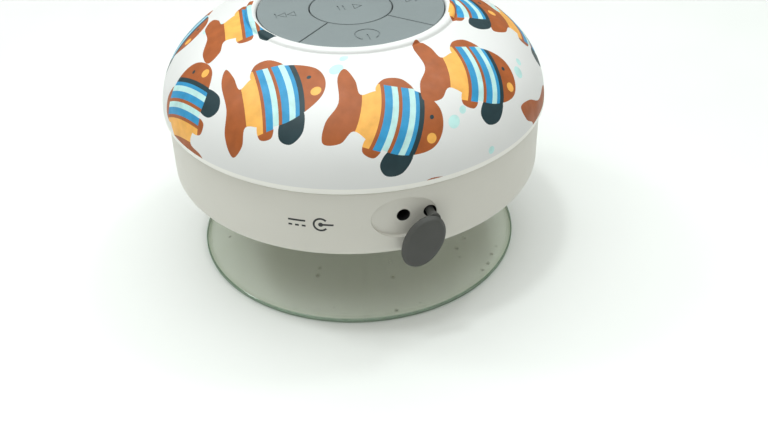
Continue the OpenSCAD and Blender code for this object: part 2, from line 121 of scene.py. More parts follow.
TUBE_INNER, TUBE_OUTER, TUBE_LOW = 9, 12, 16.5
RIM_FACE = 3  # width of the cup's flat rim
CUP_HOLLOW = 6.4
RIM_T = 1.1
CUP_SWELL = 3.2  # how much thicker the cup is at its middle
HUB_R, HUB_FOOT_R = 9, 12.5
STUD_R = 4.5
STUD_FLANGE_R, STUD_FLANGE_LOW, STUD_FLANGE_TOP = 7, 10, 11.5
MOULD_GAP = 0.05

ROUND_STEPS = 192
COOL = (0.945, 1.0, 0.995)  # colour of every light
CHART = 36  # width of the print's flat chart per radian
SEAM_PRINT = 1.9  # how far up the section the bare edge ends and the print starts
LIP_PRINT = 2.0  # how far below the opening's edge it ends
SMALLEST_PRINT = 0.002  # least area of a clipped shape that is printed, in radians x millimetres

# ---- Sizes read from the frame, in millimetres ----

DOME_TOP = high("top_shell").z
WEB_TOP = high("keypad_web").z
KEY_TOP = high("play_key").z
KEY_BOTTOM = WEB_TOP + KEY_LIFT
KEY_R = high("next_key").x
BASE_Z = low("splash_mesh").z - BASE_T
BASE_TOP = BASE_Z + BASE_T
CUP_R = high("suction_cup").x
CUP_TOP = high("suction_cup").z
SOCKET_LOW = low("cup_socket").z
SOCKET_R = high("cup_socket").x
JACK_PLACE = next(m["pos_m"] for m in frame["record"]["mounts"] if m["name"] == "charge_jack")
PORT_FLOOR = -JACK_PLACE[1] / MM
JACK_Z = JACK_PLACE[2] / MM


# ---- Small mesh tools ----

def arc(cx, cy, rx, ry, start, end, steps):
    """Points of an elliptic arc, with angles in degrees."""
    points = []
    for i in range(steps + 1):
        t = math.radians(start + (end - start) * i / steps)
        points.append((cx + rx * math.cos(t), cy + ry * math.sin(t)))
    return points


def ellipse(cx, cy, rx, ry, turn=0, steps=36):
    """Closed outline of an ellipse whose long axis is turned by an angle in degrees."""
    c, s = math.cos(math.radians(turn)), math.sin(math.radians(turn))
    ring = arc(0, 0, rx, ry, 0, 360 - 360 / steps, steps - 1)
    return [(cx + c * x - s * y, cy + s * x + c * y) for x, y in ring]


def rectangle(x0, x1, y0, y1):
    return [(x0, y0), (x1, y0), (x1, y1), (x0, y1)]


def add_object(name, data):
    """A new object in the scene, round a mesh, curve, light or camera."""
    obj = bpy.data.objects.new(name, data)
    bpy.context.scene.collection.objects.link(obj)
    return obj


def new_object(name, verts, faces):
    mesh = bpy.data.meshes.new(name)
    mesh.from_pydata(verts, [], faces)
    mesh.validate()
    return add_object(name, mesh)


def edit_mesh(mesh, *edits):
    """Runs each edit on an editable copy of the mesh, and writes the copy back."""
    bm = bmesh.new()
    bm.from_mesh(mesh)
    for edit in edits:
        edit(bm)
    bm.to_mesh(mesh)
    bm.free()


def face_outward(bm):
    bmesh.ops.recalc_face_normals(bm, faces=bm.faces)


def merge_points(distance):
    """An edit that joins the points of a mesh that lie closer than a distance."""
    return lambda bm: bmesh.ops.remove_doubles(bm, verts=bm.verts, dist=distance)


def fix_normals(obj):
    """Points all normals of a closed mesh outward."""
    edit_mesh(obj.data, face_outward)
    return obj


def revolve(name, section, steps=ROUND_STEPS):
    """A closed solid of revolution about Z. section is a closed outline of (r, z)."""
    verts, faces, rings = [], [], []
    for r, z in section:
        if r == 0:
            rings.append([len(verts)] * steps)
            verts.append((0, 0, z))
            continue
        rings.append(list(range(len(verts), len(verts) + steps)))
        for k in range(steps):
            a = 2 * math.pi * k / steps
            verts.append((r * math.cos(a), r * math.sin(a), z))
    count = len(section)
    for i in range(count):
        here, after = rings[i], rings[(i + 1) % count]
        if here[0] == here[1] and after[0] == after[1]:
            continue
        for k in range(steps):
            m = (k + 1) % steps
            corners = [here[k], here[m], after[m], after[k]]
            faces.append([c for j, c in enumerate(corners) if c not in corners[:j]])
    return fix_normals(new_object(name, verts, faces))


def loft(name, rings):
    """A closed solid through rings of the same number of points, capped at both ends."""
    verts = [v for ring in rings for v in ring]
    n = len(rings[0])
    faces = [list(range(n - 1, -1, -1))]
    for i in range(len(rings) - 1):
        for k in range(n):
            m = (k + 1) % n
            faces.append([i * n + k, i * n + m, (i + 1) * n + m, (i + 1) * n + k])
    faces.append([(len(rings) - 1) * n + k for k in range(n)])
    return fix_normals(new_object(name, verts, faces))


def prism(name, outline, z0, z1):
    """A flat outline raised from z0 to z1."""
    return loft(name, [[(x, y, z) for x, y in outline] for z in (z0, z1)])


def rod(name, radius, z0, z1):
    """A round solid along Z, from z0 to z1."""
    return prism(name, ellipse(0, 0, radius, radius, steps=40), z0, z1)


def baked(obj):
    """A new mesh of the object as its modifiers, or its curve's settings, make it."""
    graph = bpy.context.evaluated_depsgraph_get()
    return bpy.data.meshes.new_from_object(obj.evaluated_get(graph))


def combine(obj, others, operation):
    """Cuts each of the other solids out of obj, or joins it on, and removes it."""
    for other in others:
        step = obj.modifiers.new("step", "BOOLEAN")
        step.operation = operation
        step.solver = "EXACT"
        step.object = other
        result = baked(obj)
        obj.modifiers.clear()
        spent = (obj.data, other.data)
        obj.data = result
        result.name = obj.name
        bpy.data.objects.remove(other)
        for mesh in spent:
            bpy.data.meshes.remove(mesh)
    return obj


def drop_slivers(bm):
    bmesh.ops.dissolve_degenerate(bm, edges=bm.edges, dist=0.001)


def clean(obj):
    """Drops the slivers that a boolean leaves, and closes up its seams."""
    edit_mesh(obj.data, merge_points(0.002), drop_slivers)
    return obj


def smooth(obj, angle=32):
    """Smooth shading, with edges sharper than the angle kept crisp."""
    obj.data.shade_smooth()
    obj.data.set_sharp_from_angle(angle=math.radians(angle))
    return obj


def place(obj, body, slot, replaces=None, look=None):
    """Scales a finished piece to metres, gives it its material, attaches it to its body, and hides the CAD
    node that it replaces.

    The material is the slot's own, unless look names another or the piece already has some.
    """
    obj.data.transform(Matrix.Scale(MM, 4))
    if not obj.data.materials:
        obj.data.materials.append(MATERIALS[look or slot])
    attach(obj, body)
    if replaces:
        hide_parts(replaces)


def move(obj, matrix):
    obj.data.transform(matrix)
    return obj


def at_angles(angles, radius, make):
    """Copies of what make() builds, each moved out along +X by a radius and turned by an angle."""
    made = []
    for angle in angles:
        matrix = Matrix.Rotation(math.radians(angle), 4, "Z") @ Matrix.Translation((radius, 0, 0))
        made.append(move(make(), matrix))
    return made


# ---- Material tools ----

MATERIALS = {}


class Nodes:
    """Short ways to add shader nodes to one material, which is kept in MATERIALS by its name."""

    def __init__(self, name):
        MATERIALS[name] = bpy.data.materials.new(name)
        MATERIALS[name].use_nodes = True
        self.tree = MATERIALS[name].node_tree
        self.shader = self.tree.nodes["Principled BSDF"]
        self.where = self.add("ShaderNodeTexCoord").outputs["Object"]

    def put(self, node, values):
        """Gives a node its settings and the values of its sockets."""
        for key, value in values.items():
            if hasattr(node, key):
                setattr(node, key, value)
            else:
                node.inputs[key.replace("_", " ")].default_value = value
        return node

    def add(self, kind, **values):
        return self.put(self.tree.nodes.new(kind), values)

    def set(self, **values):
        self.put(self.shader, values)

    def link(self, output, target):
        self.tree.links.new(output, target)

    def at_point(self, kind, **values):
        """A new node that reads the shaded point's place in the object's own space."""
        node = self.add(kind, **values)
        self.link(self.where, node.inputs["Vector"])
        return node

    def noise(self, scale, detail, roughness=0.5):
        node = self.at_point("ShaderNodeTexNoise", Scale=scale, Detail=detail, Roughness=roughness)
        return node.outputs["Fac"]

    def spots(self, scale, size):
        """1 in small round spots scattered in space, 0 between them."""
        node = self.at_point("ShaderNodeTexVoronoi", Scale=scale)
        return self.spread(node.outputs["Distance"], size, 0, 0, 1)

    def spread(self, value, low_in, high_in, low_out, high_out):
        ends = {"From_Min": low_in, "From_Max": high_in, "To_Min": low_out, "To_Max": high_out}
        node = self.add("ShaderNodeMapRange", **ends)
        self.link(value, node.inputs["Value"])
        return node.outputs["Result"]

    def maths(self, operation, a, b):
        node = self.add("ShaderNodeMath", operation=operation)
        self.link(a, node.inputs[0])
        self.link(b, node.inputs[1])
        return node.outputs[0]

    def times(self, a, b):
        return self.maths("MULTIPLY", a, b)

    def largest(self, result, *others):
        for value in others:
            result = self.maths("MAXIMUM", result, value)
        return result

    def between(self, factor, a, b):
        """A colour that goes from a to b, each a colour or another node's output."""
        node = self.add("ShaderNodeMix", data_type="RGBA")
        self.link(factor, node.inputs["Factor"])
        sockets = [s for s in node.inputs if s.type == "RGBA"]
        for socket, value in zip(sockets, (a, b)):
            if isinstance(value, tuple):
                socket.default_value = (*value, 1)
            else:
                self.link(value, socket)
        return [s for s in node.outputs if s.type == "RGBA"][0]

    def colour(self, output):
        self.link(output, self.shader.inputs["Base Color"])

    def mottle(self, scale, detail, a, b, low_in=0.3):
        """Base colour that drifts between a and b."""
        self.colour(self.between(self.spread(self.noise(scale, detail), low_in, 0.7, 0, 1), a, b))

    def rough(self, output):
        self.link(output, self.shader.inputs["Roughness"])

    def gloss(self, scale, detail, low_out, high_out):
        """Roughness that drifts between two values."""
        self.rough(self.spread(self.noise(scale, detail), 0.3, 0.7, low_out, high_out))

    def bump(self, height, depth):
        """Relief whose full height is depth, in millimetres."""
        node = self.add("ShaderNodeBump", Distance=depth * MM)
        self.link(height, node.inputs["Height"])
        self.link(node.outputs["Normal"], self.shader.inputs["Normal"])


def shade(colour, factor):
    return tuple(min(1, c * factor) for c in colour)


def moulded(name, colour, rough, grain=2600, depth=0.006, dirt=0.06):
    """Moulded plastic or silicone: fine grain, faint mottling and a little uneven gloss."""
    n = Nodes(name)
    n.mottle(90, 4, shade(colour, 1 - dirt), colour)
    n.gloss(220, 3, rough * 0.9, min(1, rough * 1.12))
    n.bump(n.noise(grain, 2), depth)


def metal(name, colour, rough):
    """Plated or bare metal with fine scratches and uneven polish."""
    n = Nodes(name)
    n.set(Metallic=1.0)
    n.where = n.at_point("ShaderNodeMapping", Scale=(1, 1, 9)).outputs["Vector"]
    n.colour(n.between(n.noise(300, 3), shade(colour, 0.8), colour))
    n.gloss(1500, 4, rough * 0.75, min(1, rough * 1.3))
    n.bump(n.noise(1500, 3), 0.004)


def woven(name, colour, pitch):
    """Fine cloth: two crossing sets of threads, with the pitch in millimetres."""
    waves_at_scale_1 = 3.2  # that a wave texture makes in a metre
    scale = 1 / (pitch * MM) / waves_at_scale_1
    n = Nodes(name)
    threads = [n.at_point("ShaderNodeTexWave", bands_direction=axis, Scale=scale, Distortion=0.4)
               for axis in "XY"]
    weave = n.times(*(wave.outputs["Fac"] for wave in threads))
    n.colour(n.between(weave, shade(colour, 0.35), colour))
    n.rough(n.spread(weave, 0, 1, 0.935, 0.85))
    n.bump(weave, 0.06)
    n.set(Sheen_Weight=0.2)


def paper(name, colour):
    """Pressed paper pulp, with fibres and a dull surface."""
    n = Nodes(name)
    fibres = n.noise(700, 6, 0.7)
    n.colour(n.between(fibres, shade(colour, 0.6), shade(colour, 1.5)))
    n.rough(n.spread(fibres, 0.2, 0.8, 0.95, 0.75))
    n.bump(fibres, 0.05)


# ---- Materials ----

def satin_white(name, colour, rough):
    """Moulded white shell: slight orange peel, soft gloss and faint mottling."""
    n = Nodes(name)
    n.mottle(60, 4, shade(colour, 0.975), colour, 0.35)
    n.gloss(400, 3, rough * 0.9, rough * 1.15)
    n.bump(n.noise(900, 2), 0.004)
    n.set(Specular_IOR_Level=0.35)


def ink(name, colour):
    """Printed ink: the shell's gloss, with the slight mottling of a transfer print."""
    n = Nodes(name)
    n.mottle(420, 4, shade(colour, 0.86), shade(colour, 1.08))
    n.gloss(400, 3, 0.408, 0.576)
    n.bump(n.noise(900, 2), 0.004)
    n.set(Specular_IOR_Level=0.35)


def clear_pvc():
    """Clear soft PVC: nearly colourless through its face, green at its rim, with haze and dirt."""
    haze_thin, haze_thick = (0.62, 0.74, 0.50), (0.76, 0.87, 0.66)
    dirt, edge_green = (0.10, 0.07, 0.04), (0.10, 0.23, 0.125)
    n = Nodes("clear_pvc")
    split = n.at_point("ShaderNodeSeparateXYZ")
    flat = n.add("ShaderNodeCombineXYZ")
    for axis in "XY":
        n.link(split.outputs[axis], flat.inputs[axis])
    reach = n.add("ShaderNodeVectorMath", operation="LENGTH")
    n.link(flat.outputs["Vector"], reach.inputs[0])
    radius = reach.outputs["Value"]

    def past(start, end, top=1):
        """0 inside one radius, rising to a top value at another, both in millimetres."""
        return n.spread(radius, start * MM, end * MM, 0, top)

    rim = past(CUP_R - 0.42, CUP_R - 0.25)
    haze = n.spread(n.noise(70, 4), 0.35, 0.75, 0, 1)
    base = n.between(haze, haze_thin, haze_thick)
    specks = n.times(n.spots(190, 0.15), n.spread(n.noise(28, 2), 0.42, 0.48, 0, 1))
    specks = n.times(specks, past(20, 26))
    n.colour(n.between(rim, n.between(specks, base, dirt), edge_green))
    graze = n.add("ShaderNodeLayerWeight", Blend=0.35)
    clear = n.spread(graze.outputs["Facing"], 0, 1, 0.09, 0.34)
    flange = past(CUP_R - 1.5, CUP_R - 1.3, 0.22)
    solid = n.largest(clear, flange, n.spread(rim, 0, 1, 0, 0.75), n.spread(specks, 0, 1, 0, 0.9))
    n.link(solid, n.shader.inputs["Alpha"])
    n.gloss(160, 3, 0.05, 0.12)
    n.bump(n.noise(45, 3), 0.03)
    n.set(IOR=1.9, Specular_IOR_Level=0.8)


def key_silicone():
    """Grey silicone of the keys, dull and slightly soft at grazing angles."""
    n = Nodes("key_silicone")
    colour = (0.212, 0.247, 0.254)
    n.mottle(80, 4, shade(colour, 0.94), colour)
    n.gloss(300, 3, 0.52, 0.66)
    n.bump(n.noise(3000, 2), 0.008)
    n.set(Sheen_Weight=0.08)


def board_laminate():
    """Green solder mask with the faint relief of the tracks under it."""
    n = Nodes("board_laminate")
    cells = n.at_point("ShaderNodeTexVoronoi", feature="DISTANCE_TO_EDGE", distance="CHEBYCHEV", Scale=330)
    track = n.spread(cells.outputs["Distance"], 0.05, 0.08, 1, 0)
    n.colour(n.between(track, (0.025, 0.16, 0.07), (0.05, 0.25, 0.11)))
    n.gloss(500, 2, 0.3, 0.42)
    n.bump(track, 0.03)


def cell_foil():
    """Crinkled laminate foil of a pouch cell."""
    n = Nodes("cell_foil")
    n.set(Metallic=0.85)
    creases = n.noise(240, 5, 0.65)
    n.colour(n.between(creases, (0.55, 0.56, 0.58), (0.75, 0.76, 0.78)))
    n.rough(n.spread(creases, 0.3, 0.7, 0.28, 0.45))
    n.bump(creases, 0.08)


def coil_copper():
    """Turns of enamelled copper wire round the coil."""
    n = Nodes("coil_copper")
    n.set(Metallic=0.8)
    turns = n.at_point("ShaderNodeTexWave", bands_direction="Z", Scale=1700)
    n.colour(n.between(turns.outputs["Fac"], (0.30, 0.13, 0.06), (0.72, 0.38, 0.20)))
    n.gloss(600, 2, 0.3, 0.45)
    n.bump(turns.outputs["Fac"], 0.05)


def lead_sleeve():
    """Soft red PVC round the leads' wires."""
    n = Nodes("lead_sleeve")
    n.colour(n.between(n.noise(900, 2), (0.30, 0.02, 0.02), (0.45, 0.035, 0.03)))
    n.gloss(600, 2, 0.38, 0.5)
    n.bump(n.noise(1500, 2), 0.01)


satin_white("dome", (0.80, 0.80, 0.795), 0.40)
satin_white("lower_casing", (0.725, 0.703, 0.645), 0.42)
moulded("seal_rubber", (0.035, 0.035, 0.037), 0.7, depth=0.02)
clear_pvc()
moulded("white_nylon", (0.86, 0.86, 0.83), 0.45, depth=0.012)
key_silicone()
moulded("black_plastic", (0.02, 0.02, 0.021), 0.5, depth=0.015)
moulded("cover_rubber", (0.078, 0.079, 0.074), 0.62, grain=3200, depth=0.01, dirt=0.1)
metal("screw_steel", (0.62, 0.62, 0.60), 0.30)
metal("tinned_metal", (0.72, 0.72, 0.70), 0.32)
board_laminate()
moulded("chip_resin", (0.022, 0.022, 0.025), 0.6, depth=0.02)
moulded("ferrite", (0.07, 0.07, 0.075), 0.75, grain=1400, depth=0.04)
moulded("capacitor_ceramic", (0.42, 0.27, 0.15), 0.5, depth=0.01, dirt=0.2)
moulded("lamp_resin", (0.85, 0.88, 0.92), 0.15, depth=0.003)
metal("contact_metal", (0.83, 0.62, 0.24), 0.25)
lead_sleeve()
cell_foil()
moulded("foam_tape", (0.82, 0.82, 0.78), 0.9, grain=1100, depth=0.1, dirt=0.15)
moulded("driver_steel", (0.05, 0.05, 0.053), 0.4, depth=0.008)
metal("plated_iron", (0.60, 0.60, 0.58), 0.36)
moulded("terminal_laminate", (0.36, 0.21, 0.08), 0.55, depth=0.015, dirt=0.2)
woven("mesh_fabric", (0.05, 0.05, 0.05), pitch=0.5)
woven("spider_cloth", (0.62, 0.42, 0.14), pitch=0.4)
paper("cone_paper", (0.05, 0.05, 0.052))
coil_copper()

INK_COLOURS = {
    "brown": (0.40, 0.105, 0.026),
    "orange": (0.95, 0.47, 0.10),
    "blue": (0.032, 0.30, 0.58),
    "aqua": (0.53, 0.80, 0.78),
    "dark": (0.018, 0.045, 0.055),
}
for name, colour in INK_COLOURS.items():
    ink("ink_" + name, colour)
# The unprinted strip at the seam is real, but its white is lighter than the dome's. That extra lightness
# is a painted highlight for the band of light along that edge.
satin_white("bare_edge", (0.94, 0.925, 0.88), 0.36)
INKS = {name: MATERIALS["ink_" + name] for name in INK_COLOURS}
INKS["bare"] = MATERIALS["bare_edge"]


# ---- Top shell: the dome with its lip and its printed decoration ----

def dome_point(edge, rise, t):
    """Radius and height on the dome's curve, t degrees up from its edge."""
    t = math.radians(t)
    power = 2 / DOME_POWER
    return edge * math.cos(t) ** power, SEAM_Z + rise * math.sin(t) ** power


def dome_angle(edge, r):
    """How many degrees up its curve the dome has come in to the radius r."""
    return math.degrees(math.acos((r / edge) ** (DOME_POWER / 2)))


def dome_section(edge, rise, start, r_end, steps):
    """Points of the dome's curve, from start degrees up it to the radius r_end."""
    end = dome_angle(edge, r_end)
    return [dome_point(edge, rise, start + (end - start) * i / steps) for i in range(steps + 1)]


def outer_skin():
    """Section of what shows of the top shell, from the seam over the lip to the keys."""
    dome = dome_section(DOME_R, DOME_RISE, 4, LIP_OUTER_R + 0.75, 52)
    # A shallow crease parts the dome from the foot of the lip
    crease_r, crease_z = LIP_OUTER_R + 0.12, dome[-1][1] - 0.10
    lip_r = (LIP_OUTER_R + OPENING_R) / 2
    lip_w = (LIP_OUTER_R - OPENING_R) / 2
    lip_foot = crease_z + 0.06
    return (
        arc(DOME_R - EDGE_ROUND, SEAM_Z + EDGE_ROUND, EDGE_ROUND, EDGE_ROUND, -90, -8, 8)
        + dome
        + [(LIP_OUTER_R + 0.42, crease_z + 0.03), (crease_r, crease_z)]
        + arc(lip_r, lip_foot, lip_w, DOME_TOP - lip_foot, 10, 180, 20)
        + [(OPENING_R, KEY_TOP - 0.9)]
    )


def running_length(section):
    """Length along a section from its start to each of its points."""
    lengths = [0]
    for a, b in zip(section, section[1:]):
        lengths.append(lengths[-1] + math.dist(a, b))
    return lengths


def band(left, right, bulge, reach):
    """Outline of one curved band across the fish, between two offsets along its length."""
    rows = [reach * (i / 6 - 1) for i in range(13)]
    curve = [bulge * (1 - (y / reach) ** 2) for y in rows]
    up = [(left + x, y) for x, y in zip(curve, rows)]
    down = [(right + x, y) for x, y in zip(curve, rows)]
    return up + down[::-1]


def rounded(corners, steps=6):
    """A smooth closed outline through listed corners."""
    outline = []
    n = len(corners)
    for i in range(n):
        p0, p1, p2, p3 = (Vector(corners[(i + k) % n]) for k in (-1, 0, 1, 2))
        for k in range(steps):
            t = k / steps
            a = 2 * p1 + (p2 - p0) * t + (2 * p0 - 5 * p1 + 4 * p2 - p3) * t * t
            outline.append(tuple((a + (3 * p1 - p0 - 3 * p2 + p3) * t ** 3) / 2))
    return outline


def fish():
    """Shapes of a plain banded fish blowing bubbles, in millimetres, head towards +X.

    Each is (ink, outline, whether it shows only on the brown body). Later ones lie on top.
    """
    body = rounded([
        (9.9, -0.4), (8.8, 3.4), (5.2, 5.9), (0.4, 6.7), (-4.4, 5.2), (-7.2, 3.6),
        (-8.6, 6.6), (-10.9, 8.9), (-11.9, 6.0), (-10.9, 0.4), (-12.6, -4.6), (-12.4, -8.8),
        (-9.2, -7.6), (-7.2, -4.4), (-3.4, -5.9), (1.0, -6.7), (5.6, -5.8), (8.8, -3.8),
    ])
    back_fin = rounded([(-4.2, 5.0), (-3.4, 8.2), (0.2, 8.8), (3.0, 6.0)])
    low_fin = rounded([(-4.6, -5.0), (-5.0, -7.8), (-2.6, -8.4), (-1.6, -6.0)])
    front_fin = rounded([(0.4, -5.8), (-1.2, -9.2), (0.6, -11.2), (3.6, -9.8), (4.6, -5.6)])
    shapes = [
        ("brown", back_fin, False), ("brown", low_fin, False),
        ("dark", front_fin, False), ("brown", body, False),
    ]
    stripes = (("brown", 0.7), ("blue", 1.5), ("aqua", 1.2))
    bands = (("orange", 3.7), *stripes, *stripes, ("blue", 0.8), ("dark", 1.0))
    left = -7.6
    for colour, width in bands:
        shapes.append((colour, band(left, left + width, 1.0, 6.9), True))
        left += width
    shapes.append(("orange", ellipse(7.8, -2.4, 1.0, 1.0), True))
    shapes.append(("dark", ellipse(7.2, 1.6, 0.45, 0.45, steps=12), True))
    for x, y, r in ((12.2, 1.2, 1.3), (14.0, 3.6, 0.8)):
        shapes.append(("aqua", ellipse(x, y, r, r), False))
    return shapes


# Each fish: angle round the dome, distance from the axis, tilt of its head above level, and how far
# its centre is moved up the dome from there, in degrees and millimetres
FISH_PLACES = [
    (-163, 40.6, 104, 0), (-130, 34.0, 33, 0), (-90.5, 37.2, -20, 0), (-55, 34.4, -31, 0),
    (-5, 39.0, -76, 0), (34, 36.5, -20, 0), (75, 37.0, 22, 0), (116, 36.5, -24, 0),
    (157, 38.5, 44, 0), (-178, 24.6, 84, 3.0), (-11, 25.5, -66, 2.0), (54, 23, -98, 9.6),
    (96, 23, 80, 9.8), (137, 23, -100, 9.6), (-78, 42.6, 26, -8.8), (-37, 42.6, -98, -8.6),
    (14, 42.6, 96, -8.6), (54, 42.6, -80, -8.6), (95, 42.6, 100, -8.4), (137, 42.6, -95, -8.8),
]


def clip(outline, axis, limit, side):
    """The part of an outline whose coordinate on an axis lies to one side of a limit."""
    kept = []
    for a, b in zip(outline, outline[1:] + outline[:1]):
        inside = [side * (p[axis] - limit) <= 0 for p in (a, b)]
        if inside[0]:
            kept.append(a)
        if inside[0] != inside[1]:
            t = (limit - a[axis]) / (b[axis] - a[axis])
            cut = [p + t * (q - p) for p, q in zip(a, b)]
            cut[axis] = limit
            kept.append(tuple(cut))
    return kept


def area(outline):
    """Area of a flat outline, negative where it runs clockwise."""
    ends = zip(outline, outline[1:] + outline[:1])
    return sum(a[0] * b[1] - b[0] * a[1] for a, b in ends) / 2


class Skin:
    """The outside of the top shell, addressed by angle round the axis and length up its section."""

    def __init__(self):
        self.rows = outer_skin()
        self.lengths = running_length(self.rows)
        self.total = self.lengths[-1]
        self.normals = []
        last = len(self.rows) - 1
        for i in range(last + 1):
            a, b = self.rows[max(0, i - 1)], self.rows[min(last, i + 1)]
            size = math.dist(a, b)
            self.normals.append(((b[1] - a[1]) / size, (a[0] - b[0]) / size))

    def at(self, s):
        """Radius, height, and the two parts of the outward normal at a length up the section."""
        s = min(self.total, max(0, s))
        i = max(k for k in range(len(self.lengths) - 1) if self.lengths[k] <= s)
        t = (s - self.lengths[i]) / (self.lengths[i + 1] - self.lengths[i])
        ends = zip(self.rows[i] + self.normals[i], self.rows[i + 1] + self.normals[i + 1])
        return [a + t * (b - a) for a, b in ends]

    def length_at(self, radius):
        """Length up the section at which the dome has come in to a radius."""
        found = [s for s, (r, z) in zip(self.lengths, self.rows) if r <= radius and z > SEAM_Z + 1]
        return found[0] if found else SEAM_PRINT

    def outline(self, shape, angle, radius, tilt, shift):
        """A flat shape laid on the skin, as points of (angle, length)."""
        centre = self.length_at(radius) + shift
        c, s = math.cos(math.radians(tilt)), math.sin(math.radians(tilt))
        laid = []
        for x, y in shape:
            length = centre + s * x + c * y
            laid.append((math.radians(angle) + (c * x - s * y) / self.at(length)[0], length))
        top = self.total - LIP_PRINT
        for cut in ((0, math.pi, 1), (0, -math.pi, -1), (1, SEAM_PRINT, -1), (1, top, 1)):
            laid = clip(laid, *cut)
        return laid if area(laid) > 0 else laid[::-1]


def printed_outlines(skin):
    """All the fish laid on the skin: (ink, outline, whether it shows only on the brown body)."""
    found = []
    for angle, radius, tilt, shift in FISH_PLACES:
        for turn in (-360, 0, 360):
            for colour, shape, within in fish():
                laid = skin.outline(shape, angle + turn, radius, tilt, shift)
                if area(laid) > SMALLEST_PRINT:
                    found.append((colour, laid, within))
    return found


def top_shell():
    """The dome as one closed skin, whose faces are cut along the print's outlines."""
    skin = Skin()
    printed = printed_outlines(skin)
    points, edges, polygons = [], [], []
    for s in sorted(skin.lengths + [SEAM_PRINT]):
        row = len(points)
        points += [(CHART * math.pi * (2 * k / ROUND_STEPS - 1), s) for k in range(ROUND_STEPS + 1)]
        edges += [(row + k, row + k + 1) for k in range(ROUND_STEPS)]
    for _, laid, _ in printed:
        polygons.append([len(points) + k for k in range(len(laid))])
        points += [(CHART * theta, s) for theta, s in laid]
    found = delaunay_2d_cdt([Vector(p) for p in points], edges, polygons, 0, 1e-4, True)
    flat, faces, covers = found[0], found[2], found[5]

    verts, normals, slots = [], [], []
    for x, length in flat:
        r, z, out, up = skin.at(length)
        c, s = math.cos(x / CHART), math.sin(x / CHART)
        verts.append((r * c, r * s, z))
        normals.append((out * c, out * s, up))
    names = [None] + list(INKS)
    for face, cover in zip(faces, covers):
        colours = [None]
        for i in sorted(cover):
            colour, _, within = printed[i]
            if not within or any(printed[j][0] == "brown" for j in cover if j < i):
                colours.append(colour)
        # Faces below SEAM_PRINT take the unprinted strip's white, which carries a painted highlight.
        on_edge = sum(flat[v][1] for v in face) < SEAM_PRINT * len(face)
        slots.append(names.index("bare" if on_edge else colours[-1]))

    # The inside, from the opening down to the seam, closes the solid
    inner = dome_section(DOME_R - SHELL_WALL, DOME_RISE - SHELL_WALL, 0, SEAT_R, 24)
    inside = [skin.rows[-1], (OPENING_R, WEB_TOP), (SEAT_R, WEB_TOP)] + inner[::-1] + [skin.rows[0]]
    for i, (r, z) in enumerate(inside):
        ring = len(verts)
        for k in range(ROUND_STEPS):
            theta = math.pi * (2 * k / ROUND_STEPS - 1)
            verts.append((r * math.cos(theta), r * math.sin(theta), z))
            normals.append((0, 0, 0))
            if i:
                m = (k + 1) % ROUND_STEPS
                faces.append([ring - ROUND_STEPS + k, ring - ROUND_STEPS + m, ring + m, ring + k])
                slots.append(0)
    skin_object(verts, normals, faces, slots)


def skin_object(verts, normals, faces, slots):
    """The top shell's mesh: an ink for each face, and the skin's own normals on its outside."""
    shell = new_object("dome_shell", verts, faces)
    mesh = shell.data
    mesh.polygons.foreach_set("material_index", slots)
    wanted = mesh.attributes.new("wanted_normal", "FLOAT_VECTOR", "POINT")
    wanted.data.foreach_set("vector", [c for n in normals for c in n])
    edit_mesh(mesh, merge_points(0.001), face_outward)
    for material in [MATERIALS["dome"]] + list(INKS.values()):
        mesh.materials.append(material)
    smooth(shell, 50)
    wanted = [tuple(item.vector) for item in mesh.attributes["wanted_normal"].data]
    loops = []
    for polygon in mesh.polygons:
        on_skin = all(any(wanted[v]) for v in polygon.vertices)
        loops += [wanted[v] if on_skin else tuple(polygon.normal) for v in polygon.vertices]
    mesh.normals_split_custom_set(loops)
    place(shell, HOUSING, "dome", "top_shell")


# ---- Lower shell with its port, slots and screw holes ----

def port_solid(name, sections):
    """A solid across the port's wall, through outlines at distances from the axis."""
    return loft(name, [[(x, -distance, JACK_Z + y) for x, y in ring] for ring, distance in sections])


def round_port_solid(name, x, steps, z=0):
    """A round solid across the port's wall: steps are (radius, distance)."""
    return port_solid(name, [(ellipse(x, z, r, r, steps=40), d) for r, d in steps])


def lower_shell():
    """Side wall, base and tongue, with the port, the sound slots, bosses and screw wells."""
    rim_z = SEAM_Z - SEAM_GAP
    rim_round = 0.3
    foot = LOWER_R - BASE_ROUND
    inner_r = LOWER_R - SHELL_WALL
    tongue_inner = TONGUE_R - TONGUE_T
    # Points in the middle of the base and of the wall keep the faces there short
    section = (
        [(0, BASE_Z), (12, BASE_Z), (foot - 1, BASE_Z)]
        + arc(foot, BASE_Z + BASE_ROUND, BASE_ROUND, BASE_ROUND, -90, 0, 12)
        + [(LOWER_R, 27.5), (LOWER_R, 32), (LOWER_R, rim_z - 0.35)]
        + arc(LOWER_R - rim_round, rim_z - rim_round, rim_round, rim_round, 0, 90, 4)
        + [(TONGUE_R, rim_z), (TONGUE_R, rim_z + TONGUE_H), (tongue_inner, rim_z + TONGUE_H),
           (tongue_inner, rim_z - 1.6), (inner_r, rim_z - 2.9), (inner_r, BASE_TOP), (0, BASE_TOP)]
    )
    shell = revolve("casing", section)
    pad_ring = ellipse(0, 0, PAD_A, PAD_B, steps=48)
    tube = rectangle(TUBE_INNER, TUBE_OUTER, TUBE_LOW, BASE_Z + 0.5)
    boss_z = BASE_Z + 1
    joined = [port_solid("pad", [(pad_ring, PAD_BACK), (pad_ring, PAD_FRONT)]), revolve("tube", tube, 96)]
    joined += at_angles(QUARTERS, SCREW_CIRCLE, lambda: rod("boss", BOSS_R, boss_z, BOSS_TOP))
    joined += at_angles(CROSS, DRIVER_CIRCLE, lambda: rod("boss", DRIVER_BOSS_R, boss_z, DRIVER_BOSS_TOP))
    joined += [jack_rib(-1), jack_rib(1)]
    combine(shell, joined, "UNION")
    combine(shell, port_cutters() + base_cutters(), "DIFFERENCE")
    clean(shell)
    smooth(shell, 28)
    place(shell, HOUSING, "lower_casing", "lower_shell")


